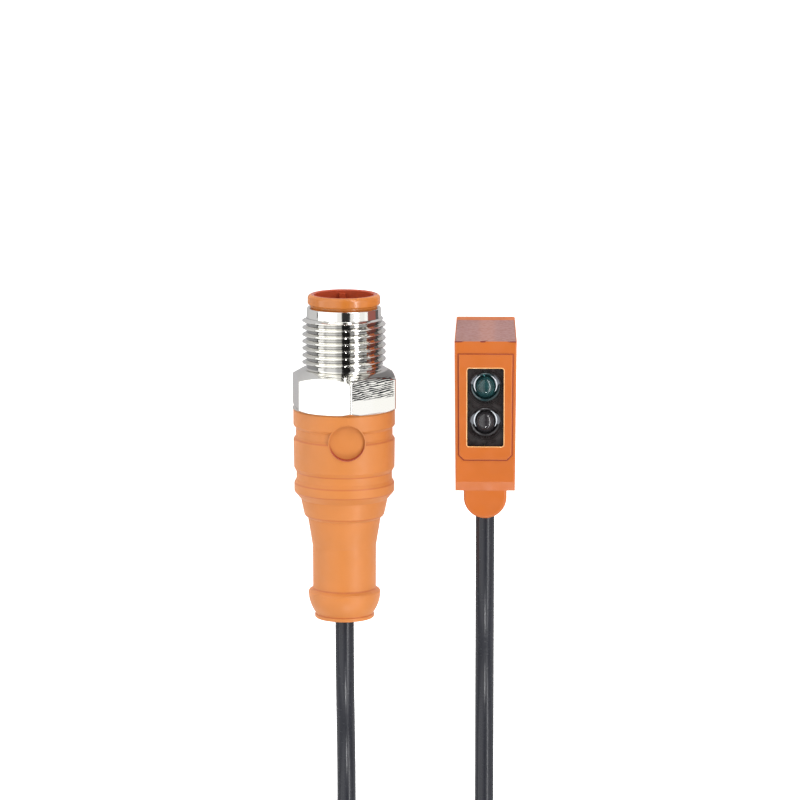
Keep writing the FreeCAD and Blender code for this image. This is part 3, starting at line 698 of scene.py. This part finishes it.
def plates_mesh(name, plates):
    """One mesh from several plates, each given as (outline, side, centre, height, thickness)."""
    bm = bmesh.new()
    for plate in plates:
        slab(bm, *plate)
    bmesh.ops.recalc_face_normals(bm, faces=bm.faces)
    mesh = bpy.data.meshes.new(name)
    bm.to_mesh(mesh)
    bm.free()
    return mesh


def soften(piece, width):
    """Rounds a piece's sharp edges."""
    bevel = piece.modifiers.new("soft_edges", "BEVEL")
    bevel.width = width * MM
    bevel.segments = 2
    bevel.limit_method = "ANGLE"
    bevel.angle_limit = math.radians(40)
    piece.modifiers.new("normals", "WEIGHTED_NORMAL").keep_sharp = True


def make_lugs(node, lug, finish, painted_highlight_finish):
    """The clear ears beside a lens, and pale slivers between them and the dome, which are painted
    reflections.
    """
    low, high = place_of(node)
    centre = (low + high) / 2
    z = place_of("optics_carrier")[1].z - LUG_SUNK
    sliver = sliver_outline()
    shapes = (("_ears", lug, LUG_THICK, finish), ("_painted_reflections", sliver, LUG_THICK + 0.08, painted_highlight_finish))
    for ending, outline, thickness, look in shapes:
        mesh = plates_mesh(node + ending, [(outline, side, centre, z, thickness) for side in (-1, 1)])
        piece = link_mesh(node + ending, mesh, look, "lens_clear")
        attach(piece, "sensor")
        soften(piece, 0.03)


def bead_rings(corners, radius, z):
    """A thin round bead along a closed outline, mitred at each corner."""
    rings = []
    count = len(corners)
    for k in range(count):
        here = Vector(corners[k])
        before = (here - Vector(corners[k - 1])).normalized()
        after = (Vector(corners[(k + 1) % count]) - here).normalized()
        out = Vector((before.y + after.y, -before.x - after.x)).normalized()
        mitre = 1 / max(math.sqrt((1 + before.dot(after)) / 2), 0.4)
        ring = []
        for step in range(8):
            turn = math.tau * step / 8
            reach = radius * math.cos(turn) * mitre
            ring.append((here.x + out.x * reach, here.y + out.y * reach, z + radius * math.sin(turn)))
        rings.append(ring)
    return rings


def rounded_outline(half, top, bottom, corner):
    """A closed rectangle with rounded corners."""
    outline = []
    corners = ((half, top, 0, -1, -1), (-half, top, 90, 1, -1), (-half, bottom, 180, 1, 1),
               (half, bottom, 270, -1, 1))
    for x, y, first, step_x, step_y in corners:
        for step in range(5):
            turn = math.radians(first + 90 * step / 4)
            outline.append((x + corner * (step_x + math.cos(turn)), y + corner * (step_y + math.sin(turn))))
    return outline


JOINT_HALF_TOP = 3.86                # the joint line round the frame, painted shade for its gap, from top to cut corner to bottom
JOINT_HALF_BOTTOM = 3.77
JOINT_HALF_CUT = 3.06
JOINT_CUT = 0.7
JOINT_BEAD_R = 0.09
RIM_HALF = 2.64                      # the bright edge round the optics, a bead with painted highlight
RIM_BEAD_R = 0.07
RIM_CORNER_R = 0.35


def make_beads(joint_shade_finish, painted_highlight_finish):
    """The dark joint line round the frame, painted shade for the gap there, and the bright edge round the
    optics, a round bead whose pale colour is painted highlight.
    """
    low, high = place_of("front_frame")
    shell = place_of("housing_shell")[1]
    cut_y = low.y + JOINT_CUT
    end_y = low.y - 0.05
    joint = [(JOINT_HALF_TOP, high.y), (-JOINT_HALF_TOP, high.y), (-JOINT_HALF_BOTTOM, cut_y),
             (-JOINT_HALF_CUT, end_y), (JOINT_HALF_CUT, end_y), (JOINT_HALF_BOTTOM, cut_y)]
    rim = rounded_outline(RIM_HALF, high.y - 1.93, low.y + 1.88, RIM_CORNER_R)
    for name, outline, radius, z, finish in (("frame_joint_shade", joint, JOINT_BEAD_R, shell.z, joint_shade_finish),
                                             ("window_rim_highlight", rim, RIM_BEAD_R, high.z - 0.01, painted_highlight_finish)):
        mesh = grid_mesh(name, bead_rings(outline, radius, z))
        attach(link_mesh(name, mesh, finish, "head_plastic"), "sensor")


def make_bezel(node, finish, slot):
    """The sloping collar round a lens, inside the black carrier."""
    low, high = place_of(node)
    centre = (low + high) / 2
    front = place_of("optics_carrier")[1].z
    profile = [(1.72, front - 0.64), (1.78, front - 0.58), (2.04, front - 0.44), (2.11, front - 0.45),
               (2.14, front - 0.52), (1.90, front - 0.76)]
    rings = []
    for k in range(LENS_COLUMNS):
        turn = math.tau * k / LENS_COLUMNS
        rings.append([(centre.x + r * math.cos(turn), centre.y + r * math.sin(turn), z)
                      for r, z in profile])
    piece = link_mesh(node + "_bezel", grid_mesh(node + "_bezel", rings), finish, slot)
    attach(piece, "sensor")


# ---------------------------------------------------------------- painted shade where the light window meets the shell
def make_window_gap_shade(finish):
    """Dark marks where the light window meets the shell: painted shade for the gap at each corner, and a
    small oval one near the middle of the top edge.
    """
    front = place_of("housing_shell")[1].z
    top = place_of("front_frame")[1].y + 1.8
    marks = []
    for side in (-1, 1):
        strip = [(3.0, -0.02), (3.5, -0.10), (4.30, -0.12), (4.34, 0.0), (4.30, 0.05), (3.5, 0.04)]
        marks.append((strip, side, Vector((0.0, top, 0.0)), front - 0.1, 0.12))
    bump = [(0.42 * math.cos(math.tau * k / 16), 0.10 * math.sin(math.tau * k / 16)) for k in range(16)]
    marks.append((bump, 1, Vector((-0.38, top - 0.02, 0.0)), front - 0.2, 0.22))
    mesh = plates_mesh("light_window_dark_marks", marks)
    piece = link_mesh("light_window_dark_marks", mesh, finish, "head_plastic")
    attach(piece, "sensor")
    soften(piece, 0.02)


# ---------------------------------------------------------------- stage
SKY_PEAK = 10.0
# Brightness of the studio by angle across the object from straight up, in degrees. The dark strip
# overhead is the gap between the soft boxes.
SKY = [
    (-90.0, 0.9), (-87.6, 0.9), (-87.0, 0.05), (-85.2, 0.05), (-84.6, 2.4), (-66.0, 2.4), (-60.0, 1.2),
    (-50.0, 1.8), (-28.0, 1.8), (-18.0, 1.0), (-6.0, 0.9), (-4.0, 0.03), (20.0, 0.03), (22.0, 0.9),
    (35.0, 0.9), (38.0, 10.0), (45.0, 10.0), (48.0, 0.95), (66.0, 0.95), (72.0, 1.12), (90.0, 1.1),
]
# Share of that brightness by angle along the object, lower towards the cable's end.
SKY_ALONG = [(-90.0, 0.22), (-62.0, 0.25), (-54.0, 1.0), (90.0, 1.0)]


def make_studio():
    """The world: one ramp across the object, multiplied by one along it."""
    world = bpy.data.worlds.new("studio")
    scene.world = world
    world.use_nodes = True
    tree = world.node_tree
    backdrop = tree.nodes["Background"]
    place = tree.nodes.new("ShaderNodeTexCoord")
    split = tree.nodes.new("ShaderNodeSeparateXYZ")
    tree.links.new(place.outputs["Generated"], split.inputs[0])
    ramps = []
    for side, stops in ((0, SKY), (1, SKY_ALONG)):
        angle = tree.nodes.new("ShaderNodeMath")
        angle.operation = "ARCTAN2"
        tree.links.new(split.outputs[side], angle.inputs[0])
        tree.links.new(split.outputs[2], angle.inputs[1])
        share = tree.nodes.new("ShaderNodeMath")
        share.operation = "MULTIPLY_ADD"
        share.inputs[1].default_value = 1 / math.pi
        share.inputs[2].default_value = 0.5
        tree.links.new(angle.outputs[0], share.inputs[0])
        ramp = tree.nodes.new("ShaderNodeValToRGB")
        elements = ramp.color_ramp.elements
        while len(elements) < len(stops):
            elements.new(0.5)
        for element, (degrees, level) in zip(elements, stops):
            element.position = degrees / 180 + 0.5
            grey = level / (SKY_PEAK if side == 0 else 1.0)
            element.color = (grey, grey, grey, 1.0)
        tree.links.new(share.outputs[0], ramp.inputs[0])
        ramps.append(ramp)
    both = tree.nodes.new("ShaderNodeMix")
    both.data_type = "RGBA"
    both.blend_type = "MULTIPLY"
    both.inputs["Factor"].default_value = 1.0
    tree.links.new(ramps[0].outputs[0], both.inputs["A"])
    tree.links.new(ramps[1].outputs[0], both.inputs["B"])
    tree.links.new(both.outputs["Result"], backdrop.inputs["Color"])
    backdrop.inputs["Strength"].default_value = SKY_PEAK


def glow_finish(name, albedo, glow, strength):
    """A matt surface that also gives light."""
    finish = Finish(name, albedo, 0.9, Emission_Strength=strength)
    finish.shader.inputs["Emission Color"].default_value = (*glow, 1.0)
    finish.shader.inputs["Specular IOR Level"].default_value = 0.0
    return finish


def make_plane(name, finish, width, length):
    """A flat piece of the stage, with its size in metres."""
    bpy.ops.mesh.primitive_plane_add(size=1)
    plane = bpy.context.object
    plane.name = name
    plane.scale = (width, length, 1.0)
    plane.data.materials.append(finish.material)
    return plane


def only_in_reflections(plane):
    plane.visible_camera = False
    plane.visible_diffuse = False
    plane.visible_transmission = False
    plane.visible_shadow = False


FLOOR_SIZE = 4.0                     # metres


def make_floor():
    """A pale floor that glows a little, and a greyer one that only shiny faces see."""
    pale = glow_finish("floor_pale", (0.85, 0.85, 0.85), (1.0, 1.0, 1.0), 0.75)
    grey = glow_finish("floor_mirrored", (0.2, 0.2, 0.2), (1.0, 1.0, 1.04), 0.32)
    make_plane("floor", pale, FLOOR_SIZE, FLOOR_SIZE).visible_glossy = False
    mirrored = make_plane("floor_mirrored", grey, FLOOR_SIZE, FLOOR_SIZE)
    mirrored.location.z = 0.004 * MM
    only_in_reflections(mirrored)


# Cards beside the plug: name, colour, heights and reach in Y.
CARD_X = -5.2
CARDS = (
    ("card_red", (0.34, 0.12, 0.10), (5.5, 14.0), (7.6, 40.0)),
    ("card_white", (1.1, 1.1, 1.08), (10.4, 16.5), (-12.0, 7.6)),
    ("card_grey", (0.12, 0.11, 0.11), (0.2, 5.5), (-12.0, 40.0)),
)


def make_cards():
    """Upright cards between the plug and the head, which only shiny faces see."""
    for name, color, heights, reach in CARDS:
        finish = glow_finish(name, (0.0, 0.0, 0.0), color, 1.0)
        card = make_plane(name, finish, (heights[1] - heights[0]) * MM, (reach[1] - reach[0]) * MM)
        card.rotation_euler = (0.0, math.radians(90), 0.0)
        card.location = (CARD_X * MM, sum(reach) / 2 * MM, sum(heights) / 2 * MM)
        only_in_reflections(card)


KICKER_PLACE = (0.03, -0.37, 0.33)   # metres


def make_kicker():
    """A small soft box beyond the coil, for the highlights on the ring and the lenses."""
    data = bpy.data.lights.new("kicker", "AREA")
    data.shape = "RECTANGLE"
    data.size = 0.03
    data.size_y = 0.1
    data.energy = 0.5
    light = bpy.data.objects.new("kicker", data)
    scene.collection.objects.link(light)
    place = Vector(KICKER_PLACE)
    light.location = place
    light.rotation_euler = (place - TARGET * MM).to_track_quat("Z", "Y").to_euler()


# ---------------------------------------------------------------- build
FINISHES = {
    "head_plastic": head_plastic(),
    "overmould_plastic": overmould_plastic(),
    "carrier_plastic": carrier_plastic(),
    "optics_black": optics_black(),
    "lens_tinted": lens_tinted(),
    "lens_clear": lens_clear(),
    "window_frosted": window_frosted(),
    "board_green": board_green(),
    "chip_black": small_part("chip_black", (0.02, 0.02, 0.02), 0.4),
    "led_clear": small_part("led_clear", (0.80, 0.79, 0.73), 0.2),
    "capacitor_tan": small_part("capacitor_tan", (0.45, 0.33, 0.20), 0.5, 0.2),
    "bush_steel": bush_steel(),
    "ferrule_metal": ferrule_metal(),
    "seal_rubber": seal_rubber(),
    "nickel_plate": nickel_plate(),
    "inner_natural": small_part("inner_natural", (0.70, 0.66, 0.58), 0.5),
    "jacket_grey": jacket_grey(),
    "core_brown": small_part("core_brown", (0.16, 0.07, 0.03), 0.4, 0.2),
    "core_white": small_part("core_white", (0.75, 0.75, 0.72), 0.4, 0.2),
    "core_blue": small_part("core_blue", (0.03, 0.12, 0.50), 0.4, 0.2),
    "core_black": small_part("core_black", (0.02, 0.02, 0.02), 0.4, 0.2),
    "contact_gold": contact_gold(),
}


def finish_nodes():
    """Gives every CAD node the material that the record names."""
    for row in frame["record"]["subparts"]:
        materials = nodes[row["node"]].data.materials
        materials.clear()
        materials.append(FINISHES[row["material_slot"]].material)


finish_nodes()
cable.data.materials.append(FINISHES["jacket_grey"].material)
make_sleeve(FINISHES["nickel_plate"])
make_lens("receiver_lens", FINISHES["lens_tinted"], "lens_tinted")
make_lens("emitter_lens", FINISHES["lens_clear"], "lens_clear")
ear_finish = small_part("lens_ear", (0.15, 0.16, 0.18), 0.15, 0.15)
# Painted reflections: the pale slivers beside the lenses.
painted_highlight_finish = small_part("lens_painted_reflection", (0.60, 0.64, 0.68), 0.12, 0.2)
make_lugs("receiver_lens", RECEIVER_LUG, ear_finish, painted_highlight_finish)
make_lugs("emitter_lens", EMITTER_LUG, ear_finish, painted_highlight_finish)
# Painted shade: dark marks at the corners of the light window.
make_window_gap_shade(small_part("painted_gap_shade", (0.16, 0.012, 0.004), 0.4))
# Painted shade: the dark joint bead round the frame. Painted highlight: the pale colour of the bead round the
# optics.
make_beads(small_part("frame_joint_shade", (0.22, 0.012, 0.001), 0.45),
           small_part("window_rim_highlight", (0.85, 0.45, 0.18), 0.1, 0.25))
make_bezel("receiver_lens", small_part("bezel_teal", (0.012, 0.035, 0.04), 0.3), "lens_tinted")
make_bezel("emitter_lens", small_part("bezel_grey", (0.022, 0.02, 0.022), 0.3), "lens_clear")
make_studio()
make_floor()
make_cards()
make_kicker()
scene.view_settings.view_transform = "Standard"
